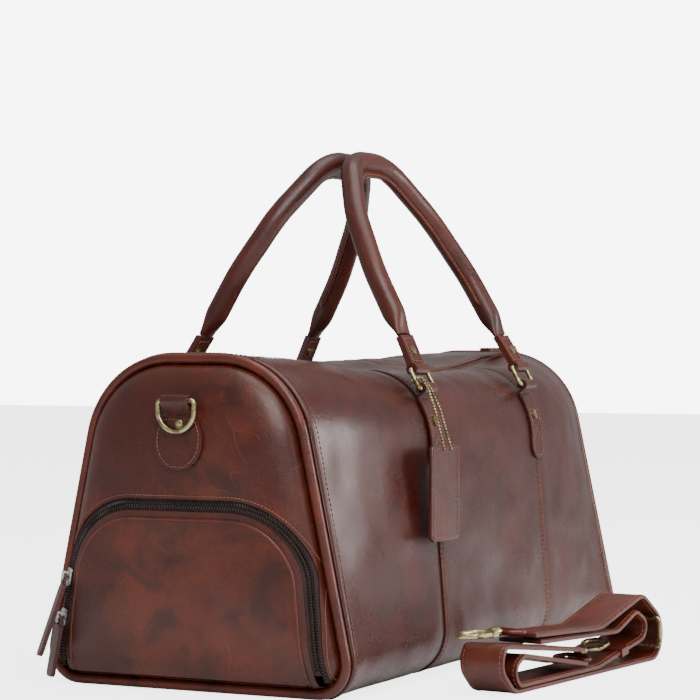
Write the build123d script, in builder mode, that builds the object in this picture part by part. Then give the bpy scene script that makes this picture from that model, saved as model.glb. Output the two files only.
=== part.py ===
from build123d import *

# A leather weekender bag with a shoe compartment in one end, carry handles on rectangular
# rings, a swing tag on a ball chain, and its shoulder strap folded up beside it.
# +X runs along the bag away from the shoe compartment, -Y is the front with the tag, +Z is up.
# The origin is the middle of the flat underside. All sizes are in millimetres.

import os
from math import atan2, cos, degrees, hypot, radians, sin, tan

os.makedirs("parts", exist_ok=True)

# ---------------------------------------------------------------- driving sizes
length = 560.0  # from one piped end to the other
height = 264.0  # top of the piped ends
leather = 3.0  # wall of the body with its backing
cloth = 0.8
strap = 24.0  # width of every tab and handle end
webbing = 2.5  # thickness of one folded strap of leather
running_gap = 0.5  # clearance between pieces that move apart
piping_radius = 4.0
end_dome = 26.0  # how far each end panel bulges past the piping
seam_x = 106.0  # the two vertical seams, which the handle tabs sit on
hinge_y = 76.0  # the creases that the two halves of the mouth fold about
mouth_x = 186.0  # the part of the top that folds open reaches this far each way
zip_y = -40.0  # the main zip lies towards the front
zip_half = 7.0  # half the gap between the two leather edges beside the zip
wire = 2.0  # radius of the rings' wire
big = 800.0  # longer than anything here, for cutting

end_x = length / 2
shell_end = end_x - piping_radius

# The body's cross-section is a trapezium with round corners: at its piped ends, and half way.
piped = {"base": 142.0, "top": 86.0, "height": height, "base_r": 28.0, "top_r": 78.0}
fullest = {"base": 141.0, "top": 122.0, "height": 257.0, "base_r": 38.0, "top_r": 70.0}
stations = [(-1.0, 0.0), (-0.68, 0.75), (0.0, 1.0), (0.68, 0.75), (1.0, 0.0)]

# The shoe compartment's zip follows an arch: half widths at its foot and crown, height, corners.
arch_foot = 118.0
arch_crown = 101.0
arch_tall = 147.0
arch_corner = 66.0
arch_lean = (arch_foot - arch_crown) / arch_tall


def save(part, name):
    """Label a finished piece and write it as its own node."""
    part.label = name
    export_step(part, f"parts/{name}.step")


# ---------------------------------------------------------------- outlines and cutters
def section_sizes(swell, inset=0.0):
    """Trapezium of the body, swell 0 at a piped end and 1 half way, drawn in by inset."""
    base = piped["base"] + (fullest["base"] - piped["base"]) * swell
    top = piped["top"] + (fullest["top"] - piped["top"]) * swell
    tall = piped["height"] + (fullest["height"] - piped["height"]) * swell
    base_r = piped["base_r"] + (fullest["base_r"] - piped["base_r"]) * swell - inset
    top_r = piped["top_r"] + (fullest["top_r"] - piped["top_r"]) * swell - inset
    lean = atan2(base - top, tall)
    base -= inset / cos(lean) + inset * tan(lean)
    top -= inset / cos(lean) - inset * tan(lean)
    return base, top, inset, tall - inset, base_r, top_r


def body_section(x, swell, inset=0.0, scale=1.0):
    """The rounded trapezium at x, optionally shrunk about the middle of the end."""
    base, top, low, high, base_r, top_r = section_sizes(swell, inset)
    middle = height * 0.47
    low = middle + (low - middle) * scale
    high = middle + (high - middle) * scale
    corners = [(-base * scale, low), (base * scale, low), (top * scale, high), (-top * scale, high)]
    radii = [base_r * scale, base_r * scale, top_r * scale, top_r * scale]
    with BuildSketch(Plane.YZ.offset(x)) as section:
        with BuildLine():
            FilletPolyline(*corners, radius=radii, close=True)
        make_face()
    return section.sketch.face()


def body_solid(inset, reach=shell_end):
    """The body's filled shape, drawn in by inset and ending at reach each way."""
    with BuildPart() as solid:
        loft(sections=[body_section(place * reach, swell, inset) for place, swell in stations])
    return solid.part


def arch(x, grow, depth, low=0.0):
    """Filled arch of the shoe compartment from x inwards, grown beyond the zip's line."""
    spread = arch_foot + grow - low * arch_lean
    crown, tall = arch_crown + grow, arch_tall + grow
    corners = [(-spread, low), (spread, low), (crown, tall), (-crown, tall)]
    radii = [0, 0, arch_corner + grow, arch_corner + grow]
    with BuildPart() as filled:
        with BuildSketch(Plane.YZ.offset(x)):
            with BuildLine():
                FilletPolyline(*corners, radius=radii, close=True)
            make_face()
        extrude(amount=depth)
    return filled.part


def slab(x=(-big, big), y=(-big, big), z=(-big, big)):
    """A plain box between the given limits, for cutting pieces out of a shell."""
    with BuildPart() as block:
        centre = ((x[0] + x[1]) / 2, (y[0] + y[1]) / 2, (z[0] + z[1]) / 2)
        with Locations(centre):
            Box(x[1] - x[0], y[1] - y[0], z[1] - z[0])
    return block.part


def cut_piece(name, shell, keep, remove=()):
    """The part of a shell inside keep and outside each of remove, saved as a node."""
    with BuildPart() as piece:
        add(shell)
        add(keep, mode=Mode.INTERSECT)
        for cutter in remove:
            add(cutter, mode=Mode.SUBTRACT)
    save(piece.part, name)


outer_body = body_solid(0)
inner_body = body_solid(leather)
tape_body = body_solid(leather + 1.0)
teeth_body = body_solid(1.0)
strap_body = body_solid(-webbing)

with BuildPart() as leather_shell:
    add(outer_body)
    add(inner_body, mode=Mode.SUBTRACT)

with BuildPart() as tape_layer:
    add(inner_body)
    add(tape_body, mode=Mode.SUBTRACT)

with BuildPart() as teeth_layer:
    add(teeth_body)
    add(inner_body, mode=Mode.SUBTRACT)

with BuildPart() as strap_layer:
    add(strap_body)
    add(outer_body, mode=Mode.SUBTRACT)

# ---------------------------------------------------------------- leather body panels
base_half = 104.0
mouth = slab(x=(-mouth_x, mouth_x), y=(-hinge_y, hinge_y), z=(200, big))
zip_channel = slab(x=(-end_x + 12, end_x - 12), y=(zip_y - zip_half, zip_y + zip_half), z=(200, big))
base_zone = slab(y=(-base_half, base_half), z=(-big, 4))
sides = {"front": (-big, 0), "back": (0, big)}
bays = {"left": (-big, -seam_x), "centre": (-seam_x, seam_x), "right": (seam_x, big)}

for side, y_limits in sides.items():
    for bay, x_limits in bays.items():
        zone = slab(x=x_limits, y=y_limits)
        cut_piece(f"{side}_panel_{bay}", leather_shell.part, zone, [mouth, zip_channel, base_zone])

with BuildPart() as base_plate:
    Box(2 * shell_end, 2 * base_half, leather, align=(Align.CENTER, Align.CENTER, Align.MIN))
save(base_plate.part, "base_panel")

with BuildPart() as base_board:
    with Locations((0, 0, leather + 1.5)):
        Box(500, 190, 2.4)
    fillet(base_board.edges().filter_by(Axis.Z), 20)
save(base_board.part, "base_stiffener_board")

# The lining hangs inside the leather and has a hole where the shoe tunnel passes its end wall.
lining_gap = 6.0
with BuildPart() as main_lining:
    add(body_solid(lining_gap, end_x - 12))
    add(body_solid(lining_gap + cloth, end_x - 12 - cloth), mode=Mode.SUBTRACT)
    add(slab(x=(-mouth_x, mouth_x), y=(-hinge_y - 4, hinge_y + 4), z=(200, big)), mode=Mode.SUBTRACT)
    add(arch(-end_x, -6, 30, low=7.2), mode=Mode.SUBTRACT)
save(main_lining.part, "main_lining")

# ---------------------------------------------------------------- piped edges and end panels
for end, side in (("pocket_end", -1), ("plain_end", 1)):
    base, top, low, high, base_r, top_r = section_sizes(0, piping_radius)
    with BuildPart() as piping:
        with BuildLine(Plane.YZ.offset(side * end_x)) as rim:
            FilletPolyline(
                (-base, low), (base, low), (top, high), (-top, high),
                radius=[base_r, base_r, top_r, top_r], close=True,
            )
        with BuildSketch(Plane(origin=rim.line @ 0, z_dir=rim.line % 0)):
            Circle(piping_radius)
        sweep()
    save(piping.part, f"{end}_piping")


def dome_solid(side, shift=0.0):
    """The pillow that bulges out of a piped end, moved inwards by shift."""
    with BuildPart() as solid:
        sections = []
        for share, scale in ((-0.12, 1.0), (0.32, 0.965), (0.68, 0.86), (0.9, 0.68), (1.0, 0.42)):
            x = side * (end_x + share * end_dome - shift)
            sections.append(body_section(x, 0, 2 * piping_radius + 0.3, scale))
        loft(sections=sections)
    return solid.part


def layer(outside, inside):
    """What is left of one solid when another is taken out of it."""
    with BuildPart() as rest:
        add(outside)
        add(inside, mode=Mode.SUBTRACT)
    return rest.part


def on_skin(solid, start, towards):
    """The first point where a line from start meets a solid, and the outward normal there."""
    hits = solid.find_intersection_points(Axis(start, towards))
    return min(hits, key=lambda hit: (hit[0] - Vector(*start)).length)


domes = {side: dome_solid(side) for side in (-1, 1)}
dome_insides = {side: dome_solid(side, leather) for side in (-1, 1)}
dome_leather = {side: layer(domes[side], dome_insides[side]) for side in (-1, 1)}
cut_piece("plain_end_panel", dome_leather[1], slab())

zip_reach = 7.0  # half the width of the shoe compartment's zip
flap_low = 10.5
cut_piece("pocket_end_panel", dome_leather[-1], slab(z=(14, big)), [arch(-big, zip_reach, big, low=-big)])
flap_shape = arch(-big, -zip_reach, big, low=flap_low)
cut_piece("pocket_flap_panel", dome_leather[-1], flap_shape)

# The zip's tape is sewn behind the two leather edges, and its teeth meet on the arch's line.
pocket_tape = layer(dome_insides[-1], dome_solid(-1, leather + 1.0))
pocket_teeth = layer(dome_solid(-1, 1.0), dome_insides[-1])
outside_mid = layer(slab(z=(flap_low, big)), arch(-big, running_gap / 2, big, low=-big))
inside_mid = arch(-big, -1.5 * running_gap, big, low=20)
tape_lap = 6.0
teeth_reach = 3.2


def pocket_row(*zones):
    """The shoe compartment's row of teeth inside all of the given zones."""
    with BuildPart() as row:
        add(pocket_teeth)
        for zone in zones:
            add(zone, mode=Mode.INTERSECT)
    return row.part


with BuildPart() as outer_zip:
    add(pocket_tape)
    add(arch(-big, zip_reach + tape_lap, big, low=14), mode=Mode.INTERSECT)
    add(outside_mid, mode=Mode.INTERSECT)
    add(pocket_row(arch(-big, teeth_reach, big, low=14), outside_mid))
save(outer_zip.part, "pocket_zip_outer_half")
with BuildPart() as inner_zip:
    add(pocket_tape)
    add(inside_mid, mode=Mode.INTERSECT)
    add(arch(-big, -zip_reach - tape_lap, big, low=-big), mode=Mode.SUBTRACT)
    add(pocket_row(inside_mid, layer(slab(), arch(-big, -teeth_reach, big, low=-big))))
save(inner_zip.part, "pocket_zip_inner_half")

# The shoe tunnel is a stiffened cloth box behind the flap.
tunnel_end = -80.0
with BuildPart() as tunnel:
    add(arch(-end_x + 9, -7, tunnel_end + end_x - 9, low=11.0))
    add(arch(-end_x + 9, -8.5, tunnel_end + end_x - 10.5, low=12.5), mode=Mode.SUBTRACT)
save(tunnel.part, "shoe_compartment_liner")

# ---------------------------------------------------------------- main zip and the mouth's lips
lip_x = mouth_x - running_gap
front_zone = slab(x=(-lip_x, lip_x), y=(-hinge_y + 1, zip_y - running_gap / 2), z=(200, big))
back_zone = slab(x=(-lip_x, lip_x), y=(zip_y + running_gap / 2, hinge_y - 1), z=(200, big))
end_zones = layer(slab(x=(-end_x + 12, end_x - 12), z=(200, big)), slab(x=(-mouth_x, mouth_x)))
tape_zone = slab(y=(zip_y - zip_half - tape_lap, zip_y + zip_half + tape_lap))
teeth_zone = slab(y=(zip_y - teeth_reach, zip_y + teeth_reach))
cut_piece("front_top_panel", leather_shell.part, front_zone, [zip_channel])
cut_piece("back_top_panel", leather_shell.part, back_zone, [zip_channel])
for side, zone in (("front", front_zone), ("back", back_zone)):
    with BuildPart() as row:
        add(teeth_layer.part)
        add(teeth_zone, mode=Mode.INTERSECT)
        add(zone, mode=Mode.INTERSECT)
    with BuildPart() as zip_side:
        add(tape_layer.part)
        add(tape_zone, mode=Mode.INTERSECT)
        add(zone, mode=Mode.INTERSECT)
        add(row.part)
    save(zip_side.part, f"{side}_zip_half")
with BuildPart() as end_row:
    add(teeth_layer.part)
    add(teeth_zone, mode=Mode.INTERSECT)
    add(end_zones, mode=Mode.INTERSECT)
with BuildPart() as end_tapes:
    add(tape_layer.part)
    add(tape_zone, mode=Mode.INTERSECT)
    add(end_zones, mode=Mode.INTERSECT)
    add(end_row.part)
save(end_tapes.part, "main_zip_end_runs")


def zip_slider(plane, name):
    """A slider's top plate with the bridge that holds its pull, on a plane along the zip."""
    with BuildPart() as slider:
        with BuildSketch(plane):
            RectangleRounded(15, 9, 3)
        extrude(amount=1.6)
        with BuildSketch(plane.offset(1.6)):
            with Locations((-3.6, 0), (3.6, 0)):
                Rectangle(1.8, 2.4)
        extrude(amount=4.0)
        with BuildSketch(plane.offset(5.6)):
            Rectangle(9.0, 2.4)
        extrude(amount=1.4)
    save(slider.part, name)


pull_wire = 1.6  # thickness of the loop that joins a pull to its slider


def zip_pull(plane, name, reach, width, thick, start=0.0):
    """A leather pull on a wire loop through the slider's bridge, lying along the plane's X."""
    with BuildPart() as pull:
        with BuildSketch(plane.offset(-pull_wire / 2)):
            with Locations((start, 0)):
                RectangleRounded(2.0, 8.6, 0.9)
            with Locations((start + 3.2, 3.4), (start + 3.2, -3.4)):
                Rectangle(8, 1.8)
        extrude(amount=pull_wire)
        with BuildSketch(plane.offset(-thick / 2)):
            with Locations((start + 6 + reach / 2, 0)):
                RectangleRounded(reach, width, 4)
        extrude(amount=thick)
    save(pull.part, name)


def rivet_head(spot, normal):
    """A flat round rivet head standing on a surface."""
    with BuildPart() as head:
        with BuildSketch(Plane(origin=spot, z_dir=normal)):
            Circle(4.2)
        extrude(amount=1.4)
    return head.part


# Main slider, parked past the lips at the plain end, its pull lying back over the closed zip.
slider_x = end_x - 21.0
slide_z = height - 1.8  # just clear of the row of teeth
slider_plane = Plane(origin=(slider_x, zip_y, slide_z), x_dir=(1, 0, 0), z_dir=(0, 0, 1))
zip_slider(slider_plane, "main_zip_slider")
main_pull_z = slide_z + 1.6 + 1.9
main_pull_plane = Plane(origin=(slider_x, zip_y, main_pull_z), x_dir=(-1, 0, 0), z_dir=(0, 0, 1))
zip_pull(main_pull_plane, "main_zip_pull", 62.0, 13.0, 3.6)
print("main slider at", slider_plane.origin, "pull hinge at", main_pull_plane.origin)

# Two sliders of the shoe compartment near the foot of the zip's left leg.
for name, z, pull_reach, tilt in (("upper", 86.0, 60.0, 17.0), ("lower", 54.0, 42.0, 2.0)):
    y = arch_foot - z * arch_lean
    spot, normal = on_skin(domes[-1], (-big, y, z), (1, 0, 0))
    along = Vector(0, -arch_lean, 1)
    along = along - normal * along.dot(normal)
    plane = Plane(origin=spot + normal * 0.4, x_dir=along, z_dir=normal)
    zip_slider(plane, f"pocket_{name}_slider")
    hang = plane.origin + normal * 3.5
    pull_plane = Plane(origin=hang, x_dir=-along, z_dir=normal)
    pull_plane = pull_plane.rotated((0, tilt, 0))
    zip_pull(pull_plane, f"pocket_{name}_pull", pull_reach, 12.0, 3.2)
    print(name, "slider", plane.origin, "along", plane.x_dir, "pull hinge", hang, plane.y_dir)

# ---------------------------------------------------------------- D-rings on the ends
tab_low, tab_high = 174.0, 224.0
hang_z = 228.0
bar_out = 30.5  # the D-ring's bar stands this far out of the piped end
d_half = 16.0
for end, side in (("pocket_end", -1), ("plain_end", 1)):
    patch_skin = layer(dome_solid(side, -webbing), domes[side])
    with BuildPart() as outline:
        with BuildSketch(Plane.YZ.offset(-big / 2)):
            with Locations((0, tab_low + 21)):
                Circle(21)
            with Locations((0, tab_high)):
                Rectangle(strap, 8)
            make_hull()
        extrude(amount=big)
    bar = (side * (end_x + bar_out), 0, hang_z)
    with BuildPart() as tab:
        add(patch_skin)
        add(outline.part, mode=Mode.INTERSECT)
        add(slab(x=(0, side * big) if side > 0 else (-big, 0)), mode=Mode.INTERSECT)
        with BuildSketch(Plane.XZ.offset(-strap / 2)):
            with Locations((bar[0], bar[2])):
                Circle(wire + 3.0)
            with Locations((bar[0] - side * 4, bar[2] - 5)):
                Rectangle(6, 6)
        extrude(amount=strap)
        with BuildSketch(Plane.XZ.offset(-strap / 2)):
            with Locations((bar[0], bar[2])):
                Circle(wire + running_gap)
        extrude(amount=strap, mode=Mode.SUBTRACT)
        add(domes[side], mode=Mode.SUBTRACT)
    save(tab.part, f"{end}_ring_tab")
    with BuildPart() as d_ring:
        with BuildLine(Plane(origin=bar, x_dir=(0, 1, 0), z_dir=(1, 0, 0))) as loop:
            Line((-d_half, 0), (d_half, 0))
            Line((d_half, 0), (d_half, -8))
            ThreePointArc((d_half, -8), (0, -8 - d_half), (-d_half, -8))
            Line((-d_half, -8), (-d_half, 0))
            fillet(loop.vertices().group_by(Axis.Z)[-1], 3)
        with BuildSketch(Plane(origin=bar, z_dir=(0, 1, 0))):
            Circle(wire)
        sweep()
    save(d_ring.part, f"{end}_d_ring")
    print(end, "ring hinge", bar)

# ---------------------------------------------------------------- handle tabs, rings, handles
lower_bar = (118.5, 235.0)  # outwards and up, of the front pair's rings mirrored
apex = (11.0, 430.0)
ring_height = 18.0
handle_lean = atan2(lower_bar[0] - apex[0], apex[1] - lower_bar[1])
upper_bar = (lower_bar[0] - ring_height * sin(handle_lean), lower_bar[1] + ring_height * cos(handle_lean))
ring_half = strap / 2 + 1.0 + wire
handle_reach = hypot(upper_bar[0] - apex[0], apex[1] - upper_bar[1])
handle_radius = 10.0
tube_start = 32.0  # the round part begins this far above the upper bar
tube_foot = 100.5
print("lower bar", lower_bar, "upper bar", upper_bar, "lean", degrees(handle_lean), "reach", handle_reach)

for side, sign in (("front", -1), ("back", 1)):
    tabs = []
    for x in (-seam_x, seam_x):
        bar_y = sign * lower_bar[0]
        with BuildPart() as tab_shape:
            with BuildSketch(Plane.XZ):
                with Locations((x, 181)):
                    Circle(strap / 2)
                with Locations((x, 206)):
                    Rectangle(strap, 50)
            extrude(amount=-sign * big)
        with BuildPart() as tab:
            add(strap_layer.part)
            add(tab_shape.part, mode=Mode.INTERSECT)
            with BuildSketch(Plane.YZ.offset(x - strap / 2)):
                with Locations((bar_y, lower_bar[1])):
                    Circle(wire + 3.0)
                with Locations((bar_y - sign * 1.5, lower_bar[1] - 5)):
                    Rectangle(5, 8)
            extrude(amount=strap)
            with BuildSketch(Plane.YZ.offset(x - strap / 2)):
                with Locations((bar_y, lower_bar[1])):
                    Circle(wire + running_gap)
            extrude(amount=strap, mode=Mode.SUBTRACT)
            add(outer_body, mode=Mode.SUBTRACT)
        tabs.append(tab.part)
    with BuildPart() as tab_pair:
        add(tabs)
    save(tab_pair.part, f"{side}_handle_tabs")

    # Everything of a handle lies in one plane through the rings' upper bars.
    lean_up = Vector(0, -sign * sin(handle_lean), cos(handle_lean))
    handle_normal = Vector(1, 0, 0).cross(lean_up)
    plane = Plane(origin=(0, sign * upper_bar[0], upper_bar[1]), x_dir=(1, 0, 0), z_dir=handle_normal)
    for bay, x in (("left", -seam_x), ("right", seam_x)):
        with BuildPart() as ring:
            with BuildLine(plane) as loop:
                FilletPolyline(
                    (x - ring_half, 0), (x + ring_half, 0), (x + ring_half, -ring_height),
                    (x - ring_half, -ring_height), radius=3.5, close=True,
                )
            with BuildSketch(Plane(origin=loop.line @ 0, z_dir=loop.line % 0)):
                Circle(wire)
            sweep()
        save(ring.part, f"{side}_{bay}_ring")
    with BuildPart() as handle:
        with BuildLine(plane) as path:
            FilletPolyline(
                (-tube_foot, tube_start), (-96, 92), (-76, 150), (-34, handle_reach),
                (34, handle_reach), (76, 150), (96, 92), (tube_foot, tube_start),
                radius=[120, 90, 50, 50, 90, 120],
            )
        with BuildSketch(Plane(origin=path.line @ 0, z_dir=path.line % 0)):
            Circle(handle_radius)
        sweep()
    save(handle.part, f"{side}_handle")
    with BuildPart() as ends:
        for mirror_sign in (-1, 1):
            with BuildSketch(plane.offset(-webbing)):
                with BuildLine():
                    Polyline(
                        (mirror_sign * (seam_x - strap / 2), 3), (mirror_sign * (seam_x + strap / 2), 3),
                        (mirror_sign * (tube_foot + strap / 2), tube_start - 1.0),
                        (mirror_sign * (tube_foot - strap / 2), tube_start - 1.0), close=True,
                    )
                make_face()
            extrude(amount=2 * webbing)
            middle = plane.from_local_coords((mirror_sign * seam_x - strap / 2, 0, 0))
            across = Plane(origin=middle, x_dir=lean_up, z_dir=(1, 0, 0))
            with BuildSketch(across):
                Circle(wire + 3.0)
            extrude(amount=strap)
            with BuildSketch(across):
                Circle(wire + running_gap)
            extrude(amount=strap, mode=Mode.SUBTRACT)
    save(ends.part, f"{side}_handle_ends")
    with BuildPart() as rivets:
        for mirror_sign in (-1, 1):
            for face in (-1, 1):
                with BuildSketch(plane.offset(face * webbing)):
                    with Locations((mirror_sign * 104.0, 16)):
                        Circle(4.2)
                extrude(amount=face * 1.4)
    save(rivets.part, f"{side}_handle_rivets")

with BuildPart() as tab_rivets:
    for sign in (-1, 1):
        for x in (-seam_x, seam_x):
            spot, normal = on_skin(strap_body, (x, sign * big, 208), (0, -sign, 0))
            add(rivet_head(spot, normal))
save(tab_rivets.part, "handle_tab_rivets")

# ---------------------------------------------------------------- swing tag on its ball chain
tag_width, tag_height, tag_thick = 54.0, 78.0, 3.4
tag_x, tag_face_y, tag_top = -125.0, -144.6, 190.0
lean_dir = Vector(0, sin(handle_lean), cos(handle_lean))
side_bar = Vector(-seam_x - ring_half, -lower_bar[0], lower_bar[1])
eye = side_bar + lean_dir * 8.0
eye_radius, ball = 4.6, 1.0
strand_out = eye_radius + 2 * ball + 0.3  # the strands hang just clear of the chain's eye
strand_top = eye + Vector(0, -cos(handle_lean), sin(handle_lean)) * strand_out
print("tag hinge", strand_top)
with BuildPart() as chain_eye:
    with BuildLine(Plane(origin=eye, x_dir=(1, 0, 0), z_dir=lean_dir)) as eye_ring:
        CenterArc((0, 0), eye_radius, 0, 360)
    with BuildSketch(Plane(origin=eye_ring.line @ 0, z_dir=eye_ring.line % 0)):
        Circle(ball)
    sweep()
save(chain_eye.part, "tag_chain_eye")
with BuildPart() as chain:
    for strand in (-1.4, 1.4):
        with BuildLine() as drop:
            FilletPolyline(
                (eye.X + strand, strand_top.Y, strand_top.Z),
                (eye.X + strand - 1, -125.5, 236),
                (tag_x + strand, -134.5, 218),
                (tag_x + strand, -143.0, tag_top + 0.4),
                radius=[7, 20],
            )
        with BuildSketch(Plane(origin=drop.line @ 0, z_dir=drop.line % 0)):
            Circle(ball)
        sweep()
save(chain.part, "tag_ball_chain")

with BuildPart() as tag:
    with BuildSketch(Plane.XZ.offset(-tag_face_y)):
        with Locations((tag_x, tag_top - tag_height / 2)):
            Rectangle(tag_width, tag_height)
    extrude(amount=-tag_thick)
    chamfer(tag.edges().filter_by(Axis.Y).group_by(Axis.Z)[-1], 3)
    fillet(tag.edges().filter_by(Axis.Y).group_by(Axis.Z)[0], 5)
save(tag.part, "luggage_tag")

# ---------------------------------------------------------------- folded shoulder strap
strap_wide, strap_thick = 38.0, 3.2
bundle_turn = radians(-5.45)
bundle_x = Vector(cos(bundle_turn), sin(bundle_turn), 0)
bundle_plane = Plane(origin=(-166, -233, 0), x_dir=bundle_x, z_dir=bundle_x.cross(Vector(0, 0, 1)))
floor_run = strap_thick / 2 + 0.1
long_route = [
    (14, 42.5), (130, 37.5), (208, 58), (249, 32), (240, floor_run),
    (-20, floor_run), (-45, 24), (-33, 38.5), (100, 22.5),
]
long_radii = [60, 16, 22, 18, 20, 14, 7]
short_route = [
    (104, 10.5), (-4, 28.5), (-23, 20), (-12, 5.8), (125, 5.8),
    (208, 21), (222, 32), (196, 45), (160, 31.5), (22, 36.5),
]
short_radii = [7, 9, 9, 60, 9, 9, 9, 30]


def folded_strap(route, radii, name):
    """A flat strap folded along a route in the bundle's upright plane."""
    with BuildPart() as band:
        with BuildSketch(bundle_plane):
            with BuildLine():
                path = FilletPolyline(*route, radius=radii)
            trace(line_width=strap_thick)
        extrude(amount=-strap_wide)
    save(band.part, name)
    print(name, "length", path.length)


folded_strap(long_route, long_radii, "shoulder_strap_long")
folded_strap(short_route, short_radii, "shoulder_strap_short")

with BuildPart() as keeper:
    keeper_plane = bundle_plane.offset(1.5)
    with BuildSketch(keeper_plane):
        with Locations(Location((170, 14.05), 10.4)):
            Rectangle(12, 6.6)
    extrude(amount=-strap_wide - 3)
    with BuildSketch(bundle_plane):
        with Locations(Location((170, 14.05), 10.4)):
            Rectangle(13, 3.4)
    extrude(amount=-strap_wide, mode=Mode.SUBTRACT)
save(keeper.part, "strap_keeper")

# The pin buckle's frame stands upright between the two bends at the bundle's right end.
buckle_u, buckle_z = 232.5, 24.0
buckle_centre = bundle_plane.from_local_coords((buckle_u, buckle_z, -strap_wide / 2))
buckle_plane = Plane(origin=buckle_centre, x_dir=(0, 0, 1), z_dir=bundle_x)
with BuildPart() as frame:
    with BuildLine(buckle_plane) as loop:
        FilletPolyline((-12, -23), (-12, 23), (12, 23), (12, -23), radius=4, close=True)
    with BuildSketch(Plane(origin=loop.line @ 0, z_dir=loop.line % 0)):
        Circle(1.7)
    sweep()
save(frame.part, "strap_buckle_frame")
with BuildPart() as prong:
    with BuildSketch(buckle_plane.offset(2.0)):
        with Locations((-1, 0)):
            Rectangle(26, 3)
    extrude(amount=1.8)
save(prong.part, "strap_buckle_prong")


def hook_loop(plane):
    """The wire loop that a strap's end is folded round, with its bar along the plane's Y."""
    with BuildPart() as loop:
        with BuildLine(plane) as rim:
            FilletPolyline((0, -20.5), (0, 20.5), (13, 9), (13, -9), radius=[4, 4, 5, 5], close=True)
        with BuildSketch(Plane(origin=rim.line @ 0, z_dir=rim.line % 0)):
            Circle(1.8)
        sweep()
    return loop.part


def snap_hook(plane, name):
    """Swivel hook along the plane's X: its barrel and bow, and its gate."""
    with BuildPart() as body:
        with BuildSketch(Plane(origin=plane.from_local_coords((15.4, 0, 0)), z_dir=plane.x_dir)):
            Circle(3.8)
        extrude(amount=10)
        with BuildLine(plane) as bow:
            FilletPolyline(
                (25.4, 0), (28, -3), (33, -10.5), (51, -10.5), (58, 0), (52, 9.5), (45, 10.5),
                radius=[3, 6, 8, 6, 4],
            )
        with BuildSketch(Plane(origin=bow.line @ 0, z_dir=bow.line % 0)):
            Circle(2.2)
        sweep()
        with BuildSketch(plane.offset(-2.2)):
            with Locations((27.5, 4)):
                Rectangle(6, 10)
        extrude(amount=4.4)
    save(body.part, f"{name}_body")
    with BuildPart() as gate:
        with BuildSketch(plane.offset(-1.4)):
            with Locations((37.6, 8.8)):
                Rectangle(12.6, 2.4)
        extrude(amount=2.8)
    save(gate.part, f"{name}_gate")
    print(name, plane.origin, plane.x_dir, "gate hinge", plane.from_local_coords((31, 8.8, 0)))


def bundle_hook_plane(u, w, z, turn, pitch=0.0):
    """A plane in the bundle, its X turned from the bundle's run and raised, in degrees."""
    spot = bundle_plane.from_local_coords((u, z, -w))
    heading = bundle_turn + radians(turn)
    flat = Plane(origin=spot, x_dir=(cos(heading), sin(heading), 0), z_dir=(0, 0, 1))
    return flat.rotated((0, -pitch, 0))


hook_planes = {
    "first_snap_hook": bundle_hook_plane(8.5, 19, 46.2, 180 - 14),
    "second_snap_hook": bundle_hook_plane(108, 19, 12.6, 0, 10.4),
}
with BuildPart() as hook_loops:
    for plane in hook_planes.values():
        add(hook_loop(plane))
save(hook_loops.part, "snap_hook_loops")
for name, plane in hook_planes.items():
    snap_hook(plane, name)
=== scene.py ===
# %% [markdown]
# A leather weekender bag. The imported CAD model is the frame: it fixes where every
# ring, hook, zip and handle is, and how it moves. This script only gives those
# parts their looks: soft leather skins, stitching, zips, handles and finishes.

# %% Load the frame
import math
from functools import lru_cache

import bpy
import numpy as np
from mathutils import Matrix, Vector, noise


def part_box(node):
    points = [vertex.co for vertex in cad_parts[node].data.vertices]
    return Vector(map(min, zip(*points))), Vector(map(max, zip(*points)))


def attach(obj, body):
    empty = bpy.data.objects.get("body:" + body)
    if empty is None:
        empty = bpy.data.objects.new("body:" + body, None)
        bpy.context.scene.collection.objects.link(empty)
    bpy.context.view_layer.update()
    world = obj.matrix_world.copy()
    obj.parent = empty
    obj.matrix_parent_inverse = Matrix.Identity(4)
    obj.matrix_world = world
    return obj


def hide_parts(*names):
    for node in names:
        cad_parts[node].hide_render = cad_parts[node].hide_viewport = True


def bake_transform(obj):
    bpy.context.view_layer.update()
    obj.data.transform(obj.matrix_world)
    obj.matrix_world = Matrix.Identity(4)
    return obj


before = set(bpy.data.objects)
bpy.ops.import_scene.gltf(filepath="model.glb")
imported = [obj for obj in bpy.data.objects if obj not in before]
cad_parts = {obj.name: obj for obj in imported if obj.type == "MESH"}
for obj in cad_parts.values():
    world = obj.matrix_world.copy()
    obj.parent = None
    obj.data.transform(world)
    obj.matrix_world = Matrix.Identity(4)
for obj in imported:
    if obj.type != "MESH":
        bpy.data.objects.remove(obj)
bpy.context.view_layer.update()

mm = 0.001

# %% [markdown]
# The view is set up first, because everything is judged through it. The camera
# looks at the shoe end from a little to its right, almost level with the floor,
# through a long lens, so that the bag hardly tapers. Three wide soft lamps stand
# in for a studio: one large key lamp, a fill and a top lamp.

# %% Camera
target = Vector((-0.012, 0, 0.266))
azimuth = math.radians(-63.3)
elevation = math.radians(0.2)
distance = 2.2
toward = Vector((math.sin(azimuth) * math.cos(elevation), -math.cos(azimuth) * math.cos(elevation), math.sin(elevation)))
bpy.ops.object.camera_add(location=target + toward * distance)
camera = bpy.context.object
camera.rotation_euler = (-toward).to_track_quat("-Z", "Y").to_euler()
camera.data.lens = 129.1
camera.data.sensor_width = 36
bpy.context.scene.camera = camera
print("camera at", [round(v, 3) for v in camera.location])

# %% Lamps and floor
def lamp(name, direction, reach, size, power):
    """A square area lamp that shines on the middle of the bag."""
    bpy.ops.object.light_add(type="AREA", location=target + Vector(direction).normalized() * reach)
    light = bpy.context.object
    light.name = name
    light.rotation_euler = Vector(direction).to_track_quat("Z", "Y").to_euler()
    light.data.size = size
    light.data.energy = power
    print("lamp", name, power, "W")


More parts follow.
